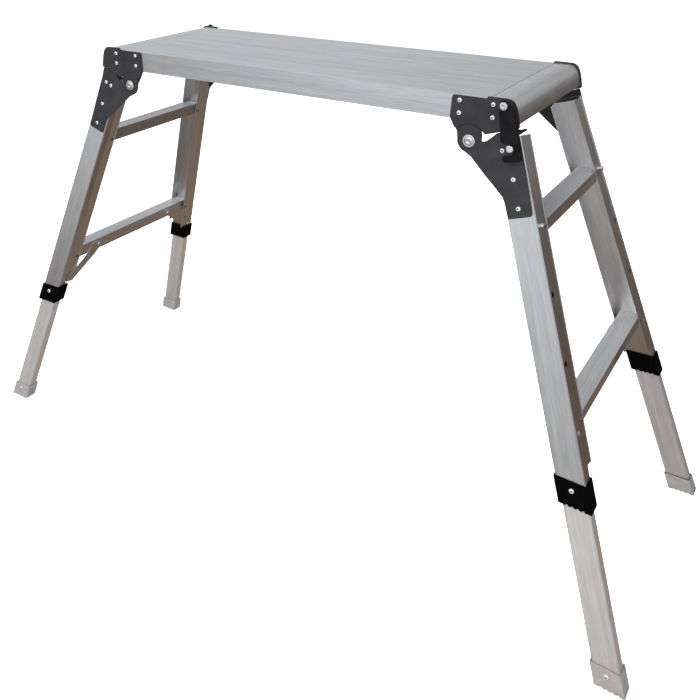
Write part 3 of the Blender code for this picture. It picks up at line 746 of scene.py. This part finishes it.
def add_frame_rivets(corner, side, paints, body):
    """Small rivets at both ends of the strut and through the collar."""
    bm = bmesh.new()
    z = TREADS["lower"] - TREAD_HEIGHT / 2
    x = plane_x(z) - TREAD_WIDTH / 2 - STRUT_THICKNESS
    place = Vector((x, STRUT_END_Y, z))
    strut_top = frame_matrix(place, Vector((0, -1, 0)), Vector((0, 0, 1)), Vector((-1, 0, 0)))
    blind_rivet(bm, strut_top, 0.0, SMALL_RIVET, -0.0015)
    strut_foot = flange_view(-1, STRUT_FOOT_DEPTH, stile_reach(STRUT_FOOT_Z, STRUT_FOOT_DEPTH))
    blind_rivet(bm, strut_foot, STRUT_THICKNESS, SMALL_RIVET, 0.0012)
    blind_rivet(bm, web_centre(COLLAR_RIVET_Z), COLLAR_FACE, SLEEVE_RIVET, 0.0002)
    mount(finished(bm, "rivets_frame_" + corner, side, paints), body, "zinc")


def add_tread_rivets(corner, side, paints, body):
    """Sunk, dull rivets through both flanges of the stile at each tread."""
    bm = bmesh.new()
    for top in TREADS.values():
        along = stile_reach(top - TREAD_HEIGHT / 2, TREAD_RIVET_DEPTH)
        for flange in (1, -1):
            blind_rivet(bm, flange_view(flange, TREAD_RIVET_DEPTH, along), -0.0006, SMALL_RIVET, -0.0014)
    # The bores are painted near black: painted shade.
    shades = [paints[DULL], paints[BORE_SHADE], paints[DULL]]
    mount(finished(bm, "rivets_tread_" + corner, side, shades), body, "zinc")


def add_foot_rivet(corner, side, paints):
    bm = bmesh.new()
    blind_rivet(bm, web_centre(FOOT_RIVET_Z), FOOT_FACE, SLEEVE_RIVET, -0.0008)
    mount(finished(bm, "rivet_foot_" + corner, side, paints), "leg_" + corner, "zinc")


def tread_end(x, z):
    """How far out a tread reaches at (x, z), where it meets the stile's box."""
    flat = STILE_VIEW.inverted() @ Vector((x, 0, z))
    step = (STILE_VIEW.inverted().to_3x3() @ OUTWARD).y
    return (BOX_DEPTH + GAP - flat.y) / step


def tread_outline(top):
    """A tread's section as (x from its middle, z), with the ribs cut along the top."""
    half = TREAD_WIDTH / 2
    low = top - TREAD_HEIGHT
    outline = [(-half + TREAD_CORNER, low), (half - TREAD_CORNER, low), (half, low + TREAD_CORNER)]
    outline += [(half, top - TREAD_SHOULDER), (half - TREAD_CHAMFER, top - TREAD_CHAMFER)]
    outline += [(half - TREAD_SHOULDER, top)]
    for rib in range(RIBS):
        at = half - RIB_INSET - RIB_PITCH * rib
        outline += [(at + RIB_MOUTH, top), (at + RIB_FLOOR, top - RIB_DEPTH)]
        outline += [(at - RIB_FLOOR, top - RIB_DEPTH), (at - RIB_MOUTH, top)]
    outline += [(-half + TREAD_SHOULDER, top), (-half + TREAD_CHAMFER, top - TREAD_CHAMFER)]
    outline += [(-half, top - TREAD_SHOULDER), (-half, low + TREAD_CORNER)]
    return outline


def add_tread(level, top, word, x_side):
    """A tread with its fine ribs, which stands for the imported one."""
    name = level + "_rung_" + word
    middle = plane_x(top - TREAD_HEIGHT / 2)
    outline = tread_outline(top)
    bm = bmesh.new()
    ends = []
    for side in (-1, 1):
        ends.append([bm.verts.new((middle + x, side * tread_end(middle + x, z), z)) for x, z in outline])
    near, far = ends
    for i in range(len(outline)):
        j = (i + 1) % len(outline)
        bm.faces.new((near[i], near[j], far[j], far[i]))
    bm.faces.new(list(reversed(near)))
    bm.faces.new(far)
    bmesh.ops.recalc_face_normals(bm, faces=bm.faces)
    for face in bm.faces:
        face.smooth = True
    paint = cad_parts[name].data.materials[0]
    item = finished(bm, name + "_ribbed", (x_side, 1), [paint], RIB_SHARP)
    mount(item, "frame_" + word, "frame_alloy", name)


def add_nose_screws(word, x_side, paints):
    """Screws that hold each end nose to the boards, with the recesses in their heads painted in the
    mandrel's darker grey as painted shade.
    """
    bm = bmesh.new()
    for y in SCREW_ROWS:
        view = Matrix.Translation((SCREW_X, y, SCREW_Z))
        lathe(bm, SCREW, view, 20, SCREW_SHADES)
    mount(finished(bm, "screws_nose_" + word, (x_side, 1), paints), "deck", "zinc")


def add_pieces(paints):
    for corner, x_side, y_side in CORNERS:
        side = (x_side, y_side)
        body = "frame_right" if x_side > 0 else "frame_left"
        leg = "leg_" + corner
        add_hinge_rivets(corner, side, paints)
        add_leg_rivets(corner, side, paints, body)
        add_pivot(corner, side, paints, body)
        add_button(corner, side, paints)
        add_frame_rivets(corner, side, paints, body)
        add_tread_rivets(corner, side, paints, body)
        add_foot_rivet(corner, side, paints)
        if corner in LATCHED:
            add_latch_pivot(corner, side, paints)
            softened("latch_hook_" + corner, "latch_" + corner, 0.0004)
        softened("hinge_plate_" + corner, "deck", 0.0005)
        softened("leg_plate_" + corner, body, 0.0005)
        softened("stile_" + corner, body, 0.0003)
        softened("knee_brace_" + corner, body, 0.0004)
        softened("collar_" + corner, body, 0.0007, segments=3)
        softened("foot_" + corner, leg, 0.0010, segments=3)
        softened("sliding_leg_" + corner, leg, 0.0004)
    for word, x_side in (("right", 1), ("left", -1)):
        add_nose_screws(word, x_side, paints)
        softened("end_nose_" + word, "deck", 0.0004)
        for level, top in TREADS.items():
            add_tread(level, top, word, x_side)
    for word in ("near", "far"):
        softened("deck_board_" + word, "deck", 0.0003)
        softened("side_rail_" + word, "deck", 0.0004)


def set_view():
    scene = bpy.context.scene
    scene.view_settings.view_transform = "Standard"
    scene.view_settings.look = "None"


add_camera()
add_world()
add_floor()
for light in LIGHTS:
    add_light(*light)
set_view()
add_pieces(dress_nodes())
